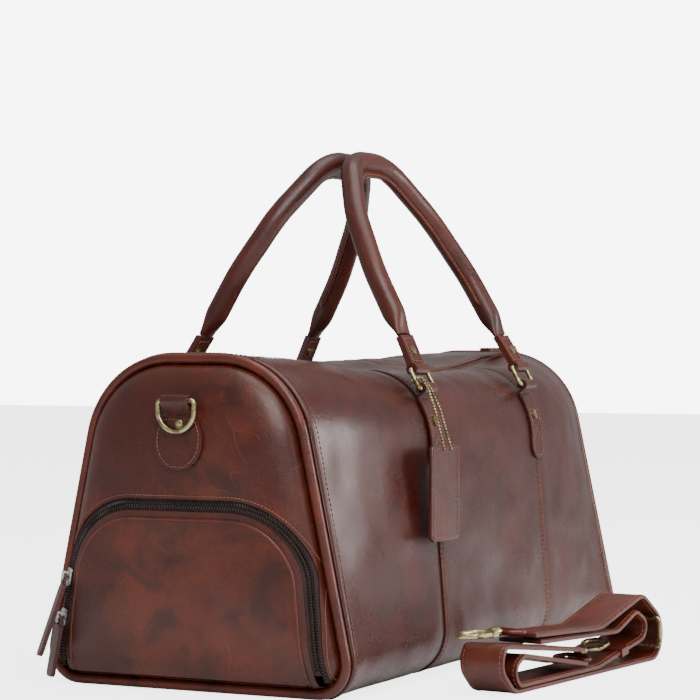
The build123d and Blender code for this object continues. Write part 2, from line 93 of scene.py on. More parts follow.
lamp("key_lamp", (-1.0, -0.9, 1.1), 2.6, 1.6, 48)
lamp("side_lamp", (0.5, -1.2, 0.25), 2.4, 0.9, 29)
lamp("top_lamp", (0.1, -0.2, 1.0), 2.4, 2.0, 36)
bpy.ops.mesh.primitive_plane_add(size=14, location=(0, 0, 0))
floor = bpy.context.object
floor.name = "studio_floor"
floor_paint = bpy.data.materials.new("pale_floor")
floor_paint.use_nodes = True
floor_paint.node_tree.nodes["Principled BSDF"].inputs["Base Color"].default_value = (0.9, 0.9, 0.9, 1)
floor_paint.node_tree.nodes["Principled BSDF"].inputs["Roughness"].default_value = 0.85
floor.data.materials.append(floor_paint)
paint = floor_paint.node_tree
floor_glow = paint.nodes.new("ShaderNodeMath")
floor_glow.operation = "MULTIPLY"
floor_glow.inputs[1].default_value = 3.4
paint.links.new(paint.nodes.new("ShaderNodeLightPath").outputs["Is Camera Ray"], floor_glow.inputs[0])
paint.nodes["Principled BSDF"].inputs["Emission Color"].default_value = (1, 1, 1, 1)
paint.links.new(floor_glow.outputs["Value"], paint.nodes["Principled BSDF"].inputs["Emission Strength"])
world = bpy.context.scene.world or bpy.data.worlds.new("studio")
bpy.context.scene.world = world
world.use_nodes = True
sky = world.node_tree
sky.nodes["Background"].inputs["Color"].default_value = (1, 1, 1, 1)
seen_directly = sky.nodes.new("ShaderNodeMath")
seen_directly.operation = "MULTIPLY_ADD"
sky.links.new(sky.nodes.new("ShaderNodeLightPath").outputs["Is Camera Ray"], seen_directly.inputs[0])
seen_directly.inputs[1].default_value = 7.0
seen_directly.inputs[2].default_value = 0.4
sky.links.new(seen_directly.outputs["Value"], sky.nodes["Background"].inputs["Strength"])
print("floor and sky ready")

# %% [markdown]
# Waxed pull-up leather is never one colour. The wax moves away wherever the hide
# is bent or rubbed, so it is dark brown in the calm middle of a panel and orange
# where it was pulled. One node group makes that mottled colour, a second the fine
# grain, and a third thin curved scratches. Each leather uses them with its own
# numbers, so that the body, the trim and the strap stay one family.

# %% Node helpers
def tone(red, green, blue):
    """A colour given on the 0 to 255 scale of a screen, as Blender's linear light."""
    def linear(value):
        share = value / 255
        return share / 12.92 if share <= 0.04045 else ((share + 0.055) / 1.055) ** 2.4
    return (linear(red), linear(green), linear(blue), 1)


def group(name, inputs, outputs):
    """An empty shader node group with those sockets, and its two end nodes."""
    tree = bpy.data.node_groups.new(name, "ShaderNodeTree")
    for socket, kind, value in inputs:
        made = tree.interface.new_socket(socket, in_out="INPUT", socket_type=kind)
        made.default_value = value
    for socket, kind in outputs:
        tree.interface.new_socket(socket, in_out="OUTPUT", socket_type=kind)
    return tree, tree.nodes.new("NodeGroupInput"), tree.nodes.new("NodeGroupOutput")


def noise_node(tree, place, scale, detail, distortion=0.0):
    node = tree.nodes.new("ShaderNodeTexNoise")
    node.inputs["Scale"].default_value = scale
    node.inputs["Detail"].default_value = detail
    node.inputs["Distortion"].default_value = distortion
    tree.links.new(place, node.inputs["Vector"])
    return node.outputs["Fac"]


def spread(tree, value, low, high, to_low=0.0, to_high=1.0):
    """The value, stretched from low..high to another range and clamped there."""
    node = tree.nodes.new("ShaderNodeMapRange")
    node.interpolation_type = "SMOOTHSTEP"
    tree.links.new(value, node.inputs["Value"])
    for socket, number in zip(("From Min", "From Max", "To Min", "To Max"), (low, high, to_low, to_high)):
        node.inputs[socket].default_value = number
    return node.outputs["Result"]


def combine(tree, operation, first, second):
    node = tree.nodes.new("ShaderNodeMath")
    node.operation = operation
    for socket, value in zip(node.inputs, (first, second)):
        if isinstance(value, (int, float)):
            socket.default_value = value
        else:
            tree.links.new(value, socket)
    return node.outputs["Value"]


def blend_colours(tree, share, first, second):
    node = tree.nodes.new("ShaderNodeMix")
    node.data_type = "RGBA"
    tree.links.new(share, node.inputs["Factor"])
    for socket, colour in (("A", first), ("B", second)):
        place = [s for s in node.inputs if s.name == socket and s.type == "RGBA"][0]
        if isinstance(colour, tuple):
            place.default_value = colour
        else:
            tree.links.new(colour, place)
    return [s for s in node.outputs if s.type == "RGBA"][0]


def place_of(tree):
    return tree.nodes.new("ShaderNodeTexCoord").outputs["Object"]


# %% The three leather effects
colour_kinds = [(name, "NodeSocketColor", value) for name, value in
                (("Calm", tone(80, 40, 34)), ("Pulled", tone(140, 64, 38)), ("Deep", tone(52, 26, 24)))]
mottle, mottle_in, mottle_out = group(
    "pull_up_mottle",
    [("Vector", "NodeSocketVector", (0, 0, 0)), ("Pull", "NodeSocketFloat", 0.5)] + colour_kinds,
    [("Colour", "NodeSocketColor"), ("Patches", "NodeSocketFloat")])
clouds = noise_node(mottle, mottle_in.outputs["Vector"], 9, 5, 0.6)
specks = noise_node(mottle, mottle_in.outputs["Vector"], 60, 6, 0.3)
both = combine(mottle, "ADD", combine(mottle, "MULTIPLY", clouds, 0.7), combine(mottle, "MULTIPLY", specks, 0.3))
pulled = spread(mottle, combine(mottle, "ADD", both, combine(mottle, "MULTIPLY", mottle_in.outputs["Pull"], 0.3)), 0.5, 0.82)
shaded = spread(mottle, noise_node(mottle, mottle_in.outputs["Vector"], 23, 4, 0.8), 0.5, 0.72, 0, 0.75)
first_colour = blend_colours(mottle, pulled, mottle_in.outputs["Calm"], mottle_in.outputs["Pulled"])
last_colour = blend_colours(mottle, shaded, first_colour, mottle_in.outputs["Deep"])
mottle.links.new(last_colour, mottle_out.inputs["Colour"])
mottle.links.new(pulled, mottle_out.inputs["Patches"])

grain, grain_in, grain_out = group(
    "hide_grain", [("Vector", "NodeSocketVector", (0, 0, 0)), ("Scale", "NodeSocketFloat", 900)],
    [("Height", "NodeSocketFloat")])
pores = grain.nodes.new("ShaderNodeTexVoronoi")
pores.feature = "DISTANCE_TO_EDGE"
grain.links.new(grain_in.outputs["Vector"], pores.inputs["Vector"])
grain.links.new(grain_in.outputs["Scale"], pores.inputs["Scale"])
creases = noise_node(grain, grain_in.outputs["Vector"], 140, 5, 0.4)
fine = combine(grain, "MULTIPLY", spread(grain, pores.outputs["Distance"], 0.0, 0.25), 0.35)
grain.links.new(combine(grain, "ADD", fine, creases), grain_out.inputs["Height"])

scratch, scratch_in, scratch_out = group(
    "curved_scratches", [("Vector", "NodeSocketVector", (0, 0, 0)), ("Scale", "NodeSocketFloat", 14)],
    [("Mask", "NodeSocketFloat")])
warp = noise_node(scratch, scratch_in.outputs["Vector"], 7, 3, 0.5)
lines = scratch.nodes.new("ShaderNodeTexVoronoi")
lines.feature = "DISTANCE_TO_EDGE"
shift = scratch.nodes.new("ShaderNodeVectorMath")
shift.operation = "MULTIPLY_ADD"
scratch.links.new(scratch_in.outputs["Vector"], shift.inputs[0])
shift.inputs[1].default_value = (1, 1, 1)
scratch.links.new(combine(scratch, "MULTIPLY", warp, 0.22), shift.inputs[2])
scratch.links.new(shift.outputs["Vector"], lines.inputs["Vector"])
scratch.links.new(scratch_in.outputs["Scale"], lines.inputs["Scale"])
thin = spread(scratch, lines.outputs["Distance"], 0.004, 0.016, 1, 0)
some = spread(scratch, noise_node(scratch, scratch_in.outputs["Vector"], 16, 2), 0.54, 0.66)
scratch.links.new(combine(scratch, "MULTIPLY", thin, some), scratch_out.inputs["Mask"])
print("leather effects:", mottle.name, grain.name, scratch.name)


# %% Leather materials
def use_group(tree, made, **values):
    node = tree.nodes.new("ShaderNodeGroup")
    node.node_tree = made
    for name, value in values.items():
        if isinstance(value, (int, float, tuple)):
            node.inputs[name].default_value = value
        else:
            tree.links.new(value, node.inputs[name])
    return node


def leather(name, calm, pulled_colour, deep, pull, rough, bump, scuffs=0.5):
    """A waxed leather: mottled colour, grain, scuffs and a thin soft coat of wax."""
    material = bpy.data.materials.new(name)
    material.use_nodes = True
    tree = material.node_tree
    shader = tree.nodes["Principled BSDF"]
    place = place_of(tree)
    colour = use_group(tree, mottle, Vector=place, Pull=pull, Calm=calm, Pulled=pulled_colour, Deep=deep)
    marks = use_group(tree, scratch, Vector=place)
    scuffed = combine(tree, "MULTIPLY", marks.outputs["Mask"], scuffs)
    tree.links.new(blend_colours(tree, scuffed, colour.outputs["Colour"], tone(150, 84, 56)), shader.inputs["Base Color"])
    shine = spread(tree, noise_node(tree, place, 34, 4), 0.3, 0.7, rough - 0.08, rough + 0.1)
    tree.links.new(combine(tree, "ADD", shine, combine(tree, "MULTIPLY", scuffed, 0.15)), shader.inputs["Roughness"])
    surface = use_group(tree, grain, Vector=place)
    relief = tree.nodes.new("ShaderNodeBump")
    relief.inputs["Strength"].default_value = bump
    relief.inputs["Distance"].default_value = 0.0006
    tree.links.new(combine(tree, "SUBTRACT", surface.outputs["Height"], scuffed), relief.inputs["Height"])
    tree.links.new(relief.outputs["Normal"], shader.inputs["Normal"])
    shader.inputs["Specular IOR Level"].default_value = 0.42
    shader.inputs["Coat Weight"].default_value = 0.25
    shader.inputs["Coat Roughness"].default_value = 0.22
    return material


body_leather = leather("body_leather", tone(66, 22, 15), tone(84, 30, 17), tone(50, 17, 13), 0.1, 0.32, 0.22, 0.06)
end_leather = leather("end_leather", tone(70, 24, 14), tone(104, 40, 19), tone(46, 16, 12), 0.34, 0.34, 0.3, 0.14)
trim_leather = leather("trim_leather", tone(70, 23, 13), tone(92, 33, 16), tone(50, 17, 12), 0.3, 0.33, 0.35, 0.1)
piping_leather = leather("piping_leather", tone(78, 27, 15), tone(110, 41, 20), tone(54, 18, 12), 0.5, 0.32, 0.35, 0.1)
strap_leather = leather("strap_leather", tone(80, 28, 16), tone(108, 42, 21), tone(58, 21, 14), 0.4, 0.35, 0.35, 0.1)
print("five leathers")

# %% [markdown]
# The hardware is old brass, brown in its hollows and bright where hands polish it,
# and the two little pocket sliders are nickel. Thread, woven zip tape, the coil of
# the zip, the lining and the base board complete the set.

# %% Metal and cloth materials
tarnish, tarnish_in, tarnish_out = group(
    "tarnish", [("Vector", "NodeSocketVector", (0, 0, 0)), ("Bright", "NodeSocketColor", tone(190, 178, 128)),
                ("Dull", "NodeSocketColor", tone(120, 102, 66))],
    [("Colour", "NodeSocketColor"), ("Rough", "NodeSocketFloat")])
stains = spread(tarnish, noise_node(tarnish, tarnish_in.outputs["Vector"], 130, 6, 0.4), 0.42, 0.66)
tarnish.links.new(blend_colours(tarnish, stains, tarnish_in.outputs["Bright"], tarnish_in.outputs["Dull"]), tarnish_out.inputs["Colour"])
tarnish.links.new(spread(tarnish, noise_node(tarnish, tarnish_in.outputs["Vector"], 420, 4), 0.3, 0.7, 0.24, 0.42), tarnish_out.inputs["Rough"])


def metal(name, bright, dull):
    material = bpy.data.materials.new(name)
    material.use_nodes = True
    tree = material.node_tree
    shader = tree.nodes["Principled BSDF"]
    finish = use_group(tree, tarnish, Vector=place_of(tree), Bright=bright, Dull=dull)
    tree.links.new(finish.outputs["Colour"], shader.inputs["Base Color"])
    tree.links.new(finish.outputs["Rough"], shader.inputs["Roughness"])
    shader.inputs["Metallic"].default_value = 1
    return material


def cloth(name, light, dark, threads, rough, depth):
    """A woven cloth: two crossed bands of thread, with a little colour variation."""
    material = bpy.data.materials.new(name)
    material.use_nodes = True
    tree = material.node_tree
    shader = tree.nodes["Principled BSDF"]
    place = place_of(tree)
    bands = []
    for direction in ("X", "Z"):
        wave = tree.nodes.new("ShaderNodeTexWave")
        wave.bands_direction = direction
        wave.inputs["Scale"].default_value = threads
        tree.links.new(place, wave.inputs["Vector"])
        bands.append(wave.outputs["Fac"])
    weave = combine(tree, "MULTIPLY", bands[0], bands[1])
    uneven = spread(tree, noise_node(tree, place, 45, 4), 0.35, 0.7)
    tree.links.new(blend_colours(tree, combine(tree, "MULTIPLY", uneven, 0.8), light, dark), shader.inputs["Base Color"])
    relief = tree.nodes.new("ShaderNodeBump")
    relief.inputs["Strength"].default_value = depth
    relief.inputs["Distance"].default_value = 0.0004
    tree.links.new(weave, relief.inputs["Height"])
    tree.links.new(relief.outputs["Normal"], shader.inputs["Normal"])
    shader.inputs["Roughness"].default_value = rough
    return material


antique_brass = metal("antique_brass", tone(196, 184, 138), tone(126, 110, 74))
nickel = metal("nickel", tone(206, 204, 198), tone(140, 138, 134))
zip_tape = cloth("zip_tape", tone(62, 38, 30), tone(42, 26, 22), 700, 0.8, 0.5)
zip_coil = cloth("zip_coil", tone(40, 27, 24), tone(26, 18, 17), 300, 0.42, 0.1)
thread = cloth("thread", tone(150, 96, 74), tone(116, 68, 50), 900, 0.6, 0.3)
lining_cloth = cloth("lining_cloth", tone(120, 96, 70), tone(92, 72, 54), 520, 0.85, 0.6)
board_plastic = cloth("board_plastic", tone(48, 46, 45), tone(36, 35, 34), 260, 0.6, 0.4)
print("metals, cloths and thread ready")

# %% [markdown]
# Every soft piece starts as a flat grid primitive whose points are then laid where
# the maker would lay the leather, and gets its thickness from Solidify. A few small
# helpers do the steps that repeat: adding a grid, giving it a wall, naming its
# material and body, and walking along a path with rounded corners.

# %% Piece helpers
def clear():
    if bpy.context.object and bpy.context.object.mode != "OBJECT":
        bpy.ops.object.mode_set(mode="OBJECT")
    bpy.ops.object.select_all(action="DESELECT")


def grid_piece(name, across, along, place, closed=False):
    """A grid of across by along cells; place(u, v) says where each of its points goes, in mm."""
    clear()
    bpy.ops.mesh.primitive_grid_add(x_subdivisions=across, y_subdivisions=along, size=2)
    piece = bpy.context.object
    piece.name = name
    for vertex in piece.data.vertices:
        u, v = (vertex.co.x + 1) / 2, (vertex.co.y + 1) / 2
        vertex.co = Vector(place(u, v)) * mm
    bpy.ops.object.mode_set(mode="EDIT")
    bpy.ops.mesh.select_all(action="SELECT")
    if closed:
        bpy.ops.mesh.remove_doubles(threshold=0.00002)
    bpy.ops.object.mode_set(mode="OBJECT")
    return piece


def apply(piece, kind, **values):
    """Adds one modifier, sets it up and applies it."""
    clear()
    bpy.context.view_layer.objects.active = piece
    piece.select_set(True)
    made = piece.modifiers.new(kind.lower(), kind)
    for name, value in values.items():
        setattr(made, name, value)
    bpy.ops.object.modifier_apply(modifier=made.name)


def face_out(piece, outward):
    """Turns the whole sheet over if most of it faces against outward(point)."""
    mesh = piece.data
    facing = sum(p.normal.dot(outward(p.center)) * p.area for p in mesh.polygons)
    if facing < 0:
        mesh.flip_normals()
    print(piece.name, len(mesh.vertices), "points")


def wall(piece, thickness, round_edges=0.0):
    """Gives the sheet a thickness below its own face, with its rim closed."""
    apply(piece, "SOLIDIFY", thickness=thickness * mm, offset=-1)
    if round_edges:
        apply(piece, "BEVEL", width=round_edges * mm, segments=2, limit_method="ANGLE", angle_limit=math.radians(50))


def smooth(piece, angle=40):
    clear()
    bpy.context.view_layer.objects.active = piece
    piece.select_set(True)
    bpy.ops.object.shade_smooth_by_angle(angle=math.radians(angle))


def give(piece, material, body=None, stands_for=()):
    """The piece's finish, the body it rides on and the CAD nodes it stands for."""
    smooth(piece)
    piece.data.materials.clear()
    piece.data.materials.append(material)
    if body:
        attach(piece, body)
    if stands_for:
        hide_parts(*stands_for)
    return piece


def rounded(corners, radii, step=3.0):
    """Points every few mm along straight runs whose inner corners are rounded."""
    corners = [Vector(c) for c in corners]
    points = [corners[0]]
    for before, corner, after, radius in zip(corners, corners[1:], corners[2:], radii):
        back, ahead = (before - corner).normalized(), (after - corner).normalized()
        half = back.angle(ahead) / 2
        cut = radius / math.tan(half)
        centre = corner + (back + ahead).normalized() * radius / math.sin(half)
        start, end = corner + back * cut - centre, corner + ahead * cut - centre
        turn = start.angle(end)
        turns = max(3, int(turn * radius / step) + 2)
        for i in range(turns + 1):
            share = i / turns
            spoke = start * math.sin((1 - share) * turn) + end * math.sin(share * turn)
            points.append(centre + spoke / math.sin(turn))
    points.append(corners[-1])
    return points


class Path:
    """A line of points that can be read at any length along it."""

    def __init__(self, points):
        self.points = np.array([list(p) for p in points], float)
        steps = np.linalg.norm(np.diff(self.points, axis=0), axis=1)
        self.runs = np.concatenate([[0], np.cumsum(steps)])
        self.length = float(self.runs[-1])

    def at(self, run):
        return Vector([float(np.interp(run, self.runs, column)) for column in self.points.T])

    def ahead(self, run, reach=1.5):
        low, high = max(0, run - reach), min(self.length, run + reach)
        return (self.at(high) - self.at(low)).normalized()


# %% Stitches, teeth and beads
def unit_bead(sides, rings, half_length, radius):
    """One stretched bead along X, as points and faces, modelled once for copying."""
    clear()
    bpy.ops.mesh.primitive_uv_sphere_add(segments=sides, ring_count=rings, radius=1)
    bead = bpy.context.object
    points = np.array([v.co for v in bead.data.vertices])[:, [2, 0, 1]] * [half_length, radius, radius]
    faces = [list(p.vertices) for p in bead.data.polygons]
    bpy.data.objects.remove(bead)
    return points, faces


def copies(name, unit, places):
    """One mesh made of a copy of the unit at each place, given as (centre mm, direction)."""
    points, faces = unit
    all_points, all_faces = [], []
    for count, (centre, direction) in enumerate(places):
        x = Vector(direction).normalized()
        side = x.cross(Vector((0.31, 0.2, 0.93))).normalized()
        turn = np.array([x, side, x.cross(side)])
        all_points.append(points @ turn + np.array(centre))
        all_faces += [[i + count * len(points) for i in face] for face in faces]
    mesh = bpy.data.meshes.new(name)
    mesh.from_pydata((np.concatenate(all_points) * mm).tolist(), [], all_faces)
    piece = bpy.data.objects.new(name, mesh)
    bpy.context.collection.objects.link(piece)
    print(name, "has", len(places), "copies")
    return piece


stitch_unit = unit_bead(6, 4, 1.6, 0.4)
stitch_pitch = 4.0
tooth_unit = unit_bead(6, 4, 1.9, 0.85)
bead_unit = unit_bead(8, 6, 1.15, 1.15)
rivet_unit = unit_bead(24, 12, 1.5, 3.9)


def along(points, pitch):
    """(place, direction) every pitch mm along a line of points."""
    path = Path(points)
    count = max(1, int(path.length / pitch))
    runs = [(i + 0.5) * path.length / count for i in range(count)]
    return [(path.at(run), path.ahead(run)) for run in runs]


def stitches(name, lines, body=None, pitch=stitch_pitch):
    places = [place for line in lines for place in along(line, pitch)]
    return give(copies(name, stitch_unit, places), thread, body)


# %% [markdown]
# The shell is a lofted box with soft corners: narrow and tall at the piped ends,
# wider and lower in the middle. Its outline at any place along the bag is a
# trapezium with round corners, so one function gives that outline, and every panel,
# seam and tab is laid on it. The top sinks a little along the zip, as an empty bag's
# top does, and gentle swells keep the panels from looking like sheet metal.

# %% The outline of the shell
end_x = 280
shell_end = 276
height = 264
seam_x = 106
zip_y = -40
zip_half = 7
piped = {"base": 142, "top": 86, "tall": 264, "base_r": 28, "top_r": 78}
fullest = {"base": 141, "top": 122, "tall": 257, "base_r": 38, "top_r": 70}
low_steps = 14
high_steps = 22


@lru_cache(maxsize=None)
def section(x, inset=0.0):
    """The outline at x as depths, heights and lengths: up one side, over and down the other."""
    mix = 1 - min(1.0, abs(x) / shell_end) ** 3.6
    size = {key: piped[key] + (fullest[key] - piped[key]) * mix for key in piped}
    lean = math.atan2(size["base"] - size["top"], size["tall"])
    base = size["base"] - inset / math.cos(lean) - inset * math.tan(lean)
    top = size["top"] - inset / math.cos(lean) + inset * math.tan(lean)
    base_r, top_r = size["base_r"] - inset, size["top_r"] - inset
    high = size["tall"] - inset
    low_turn = np.linspace(-math.pi / 2, lean, low_steps)
    high_turn = np.linspace(lean, math.pi / 2, high_steps)
    low_y = base - base_r * math.tan(math.pi / 4 + lean / 2)
    high_y = top - top_r * math.tan(math.pi / 4 - lean / 2)
    y = np.concatenate([[0], low_y + base_r * np.cos(low_turn), high_y + top_r * np.cos(high_turn)])
    z = np.concatenate([[inset], inset + base_r * (1 + np.sin(low_turn)), high - top_r * (1 - np.sin(high_turn))])
    y, z = np.concatenate([y, -y[::-1]]), np.concatenate([z, z[::-1]])
    runs = np.concatenate([[0], np.cumsum(np.hypot(np.diff(y), np.diff(z)))])
    return y, z, runs


def run_at_height(x, z_wanted, inset=0.0):
    y, z, runs = section(x, inset)
    half = len(y) // 2
    return float(np.interp(z_wanted, z[:half], runs[:half]))


def run_at_depth(x, depth, inset=0.0):
    """How far round the outline the top is at that depth; below zero is past the middle."""
    y, z, runs = section(x, inset)
    first = 1 + low_steps
    return float(np.interp(-depth, -y[first:-first], runs[first:-first]))


def on_skin(x, side, run, lift=0.0, inset=0.0):
    """The point at that run round the outline, lifted off it, in mm."""
    y, z, runs = section(x, inset)
    here = np.array([np.interp(run, runs, y), np.interp(run, runs, z)])
    ahead = np.array([np.interp(run + 1, runs, y), np.interp(run + 1, runs, z)])
    behind = np.array([np.interp(run - 1, runs, y), np.interp(run - 1, runs, z)])
    step = (ahead - behind) / max(1e-9, np.linalg.norm(ahead - behind))
    here = here + lift * np.array([step[1], -step[0]])
    return Vector((x, side * here[0], here[1]))


def ease(value):
    share = min(1.0, max(0.0, value))
    return share * share * (3 - 2 * share)


sag_depth = 13
sag_reach = 205
fold_y = 18
fold_wide = 9
fold_deep = 3.5


def settle(point):
    """Lets a point of the top sink toward the zip, most in the middle of the bag."""
    if point.z < 200:
        return point
    length_share = max(0.0, 1 - (point.x / sag_reach) ** 2)
    width = 46 if point.y < zip_y else 62
    depth_share = math.exp(-(((point.y - zip_y) / width) ** 2))
    point.z -= sag_depth * length_share * depth_share
    fold_share = math.exp(-(((point.y - fold_y - 0.06 * point.x) / fold_wide) ** 2))
    point.z -= fold_deep * fold_share * ease((160 - abs(point.x)) / 120)
    return point


def swells(x, side, run):
    """Soft hollows and swells of the hide, in mm."""
    place = Vector((x * 0.011, side * 7.3, run * 0.013))
    return 2.6 * noise.noise(place) + 0.7 * noise.noise(place * 3.1)


print("outline at the middle is", round(float(section(0)[2][-1])), "mm round")

# %% [markdown]
# The pieces along the mouth are not bent; their placement is baked into their meshes.


def mouth_blend(piece):
    """Bakes the piece's placement into its own mesh."""
    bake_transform(piece)
    return piece


# %% Body panels
base_seam = 104
lap = 6
skin_wall = 1.5
zip_edge = {-1: -(zip_y - zip_half), 1: zip_y + zip_half}
spans = {"left": (-shell_end, -seam_x + 1), "centre": (-seam_x - lap, seam_x + lap), "right": (seam_x - 1, shell_end)}
side_names = {-1: "front", 1: "back"}


def panel_place(side, span, name):
    start, end = span

    def place(u, v):
        x = start + (end - start) * u
        low_run, high_run = base_seam, run_at_depth(x, zip_edge[side])
        run = low_run + (high_run - low_run) * v
        from_seam = min(abs(abs(x) - seam_x - lap), abs(abs(x) - seam_x + lap))
        tuck = 0.0 if name == "centre" else -1.7 * ease(1 - (abs(x) - seam_x) / 18)
        calm = ease(from_seam / 30) * ease((shell_end - abs(x)) / 30) * ease((run - low_run) / 30) * ease((high_run - run) / 40)
        return settle(on_skin(x, side, run, tuck + swells(x, side, run) * calm))
    return place


for side, side_name in side_names.items():
    for name, span in spans.items():
        columns = 56 if name == "centre" else 42
        panel = grid_piece(f"{side_name}_skin_{name}", columns, 72, panel_place(side, span, name))
        face_out(panel, lambda c, s=side: Vector((0, c.y, c.z - 0.13)))
        wall(panel, skin_wall)
        stands = [f"{side_name}_panel_{name}"] + ([f"{side_name}_top_panel"] if name == "centre" else [])
        give(panel, body_leather, None, stands)
        mouth_blend(panel)

# %% [markdown]
# A flat felled seam joins the panels: the centre panel laps over its neighbours and
# is sewn down with two rows of thread. More rows run along both sides of the zip.

# %% Seam stitching
for side, side_name in side_names.items():
    rows = []
    for x in (-seam_x - lap + 2, -seam_x - lap + 6, seam_x + lap - 6, seam_x + lap - 2):
        low_run, high_run = base_seam + 3, run_at_depth(x, zip_edge[side]) - 4
        rows.append([settle(on_skin(x, side, r, 0.2)) for r in np.linspace(low_run, high_run, 60)])
    for gap in (3, 8):
        rows.append([settle(on_skin(x, side, run_at_depth(x, zip_edge[side] - (side * -gap if side < 0 else -gap)), 0.3))
                     for x in np.linspace(-262, 262, 120)])
    mouth_blend(stitches(f"{side_name}_seam_thread", rows))

# %% Base panel
def base_place(u, v):
    x = -shell_end + 2 * shell_end * u
    y = (-1 + 2 * v) * (base_seam + 1)
    rise = 0.25 + 0.2 * noise.noise(Vector((x * 0.02, y * 0.02, 4)))
    return (x, y, rise)


base = grid_piece("base_skin", 60, 24, base_place)
face_out(base, lambda c: Vector((0, 0, -1)))
wall(base, 2.6)
give(base, trim_leather, "root", ["base_panel"])

# %% [markdown]
# A coil zip is two tapes, each with a nylon coil sewn along its edge. The tape is a
# narrow strip, and the coil is one small tooth copied along it. The top zip follows
# the sunken middle of the top.

# %% Top zip
tape_width = 8
tooth_pitch = 2.3
zip_end = 268
for side, side_name in side_names.items():
    def tape_place(u, v, side=side):
        x = -zip_end + 2 * zip_end * u
        depth = zip_y + side * (0.4 + tape_width * v)
        return settle(on_skin(x, -1, run_at_depth(x, -depth), -1.6))

    tape = grid_piece(f"{side_name}_zip_tape", 160, 4, tape_place)
    face_out(tape, lambda c: Vector((0, 0, 1)))
    wall(tape, 0.8)
    give(tape, zip_tape, None, [f"{side_name}_zip_half", "main_zip_end_runs"])
    mouth_blend(tape)
    teeth = []
    for i in range(int(2 * zip_end / tooth_pitch)):
        x = -zip_end + tooth_pitch * (i + 0.5 + (0.25 if side < 0 else -0.25))
        run = run_at_depth(x, -(zip_y + side * 1.7))
        teeth.append((settle(on_skin(x, -1, run, -1.0)), (0.35 * side, 1, 0)))
    coil = give(copies(f"{side_name}_zip_coil", tooth_unit, teeth), zip_coil)
    mouth_blend(coil)

# %% [markdown]
# Each end is a domed panel sewn in behind a fat piping. The piping is a cord wrapped
# in leather, and the folded seam beside it shows as a second, thinner ridge. Both
# are round curves that follow the outline, turned into meshes.

# %% Piping
def ring_points(x, inset, count=220):
    y, z, runs = section(x, inset)
    half = [(float(np.interp(r, runs, y)), float(np.interp(r, runs, z))) for r in np.linspace(0, runs[-1], count)]
    return [(x, a, b) for a, b in half[:-1]]


def tube(name, points, radius, closed=False, sides=6):
    """A round tube along a line of points, from a curve with a bevel."""
    clear()
    curve = bpy.data.curves.new(name, "CURVE")
    curve.dimensions = "3D"
    curve.bevel_depth = radius * mm
    curve.bevel_resolution = sides
    curve.use_fill_caps = not closed
    line = curve.splines.new("POLY")
    line.points.add(len(points) - 1)
    for spot, point in zip(line.points, points):
        spot.co = (*[c * mm for c in point], 1)
    line.use_cyclic_u = closed
    piece = bpy.data.objects.new(name, curve)
    bpy.context.collection.objects.link(piece)
    bpy.context.view_layer.objects.active = piece
    piece.select_set(True)
    bpy.ops.object.convert(target="MESH")
    print(name, len(piece.data.vertices), "points")
    return bpy.context.object


def under_pull(y, z):
    """How far the welt is pressed down where the zip's pull lies over it."""
    return 1.6 * math.exp(-(((y - zip_y) / 14) ** 2)) if z > 200 else 0.0


end_names = {-1: "pocket_end", 1: "plain_end"}
for end, end_name in end_names.items():
    piping = tube(f"{end_name}_piping_cord", ring_points(end * end_x, 4.1), 4.1, closed=True)
    give(piping, piping_leather, "root", [f"{end_name}_piping"])
    welt_line = [(x, y, z - under_pull(y, z)) for x, y, z in ring_points(end * (end_x - 7.2), 1.6)]
    welt = tube(f"{end_name}_welt", welt_line, 2.9, closed=True)
    give(welt, trim_leather, "root")
    stitches(f"{end_name}_welt_thread", [[p for p in ring_points(end * (end_x - 11.5), -0.3)]], "root")


# %% The end domes
dome_centre = 0.47 * height
dome_deep = 26
dome_inset = 8.2
rim = 0.12


def reach_of(points, centre):
    """Half width of a closed outline in each direction from its centre, as two arrays by angle."""
    turned = sorted((math.atan2(z - centre, abs(y)), math.hypot(y, z - centre)) for y, z in points if y > -1e-6)
    return np.array(turned).T


outline_points = [(y, z) for x, y, z in ring_points(end_x, dome_inset, 400)]
dome_reach = reach_of(outline_points, dome_centre)


def dome_x(y, z):
    """How far along the bag the domed end stands at that depth and height."""
    angle = math.atan2(z - dome_centre, abs(y))
    share = min(1.0, math.hypot(y, z - dome_centre) / float(np.interp(angle, *dome_reach)))
    swell = 1.3 * noise.noise(Vector((y * 0.018, z * 0.018, 5))) * (1 - share ** 3)
    return end_x + dome_deep * (-rim + (1 + rim) * (1 - share ** 4) ** 0.42) + swell


def polar_piece(name, end, inner, outer, centre, rings, around=160, lift=0.0, crowd=1.0):
    """A domed sheet between two outlines that go round a centre; inner None closes it."""
    def place(u, v):
        turn = 2 * math.pi * u
        angle = math.atan2(math.sin(turn), abs(math.cos(turn)))
        far = float(np.interp(angle, *outer))
        near = float(np.interp(angle, *inner)) if inner is not None else 0.0
        share = math.sin(v * math.pi / 2) if crowd else v
        radius = near + (far - near) * share
        y, z = radius * math.cos(turn), centre + radius * math.sin(turn)
        return (end * (dome_x(y, z) + lift), y, z)

    piece = grid_piece(name, around, rings, place, closed=True)
    face_out(piece, lambda c: Vector((end, 0, 0)))
    wall(piece, 1.8)
    return piece


plain = polar_piece("plain_end_skin", 1, None, dome_reach, dome_centre, 26)
give(plain, end_leather, "root", ["plain_end_panel"])

# %% [markdown]
# The shoe pocket is an arch cut in one dome. Its flap is the same dome inside the
# arch, hinged along its foot, and a zip runs round the gap between the two.

# %% Pocket arch
foot_half = 118
crown_half = 101
crown_high = 147
arch_corner = 66
arch_centre = 80


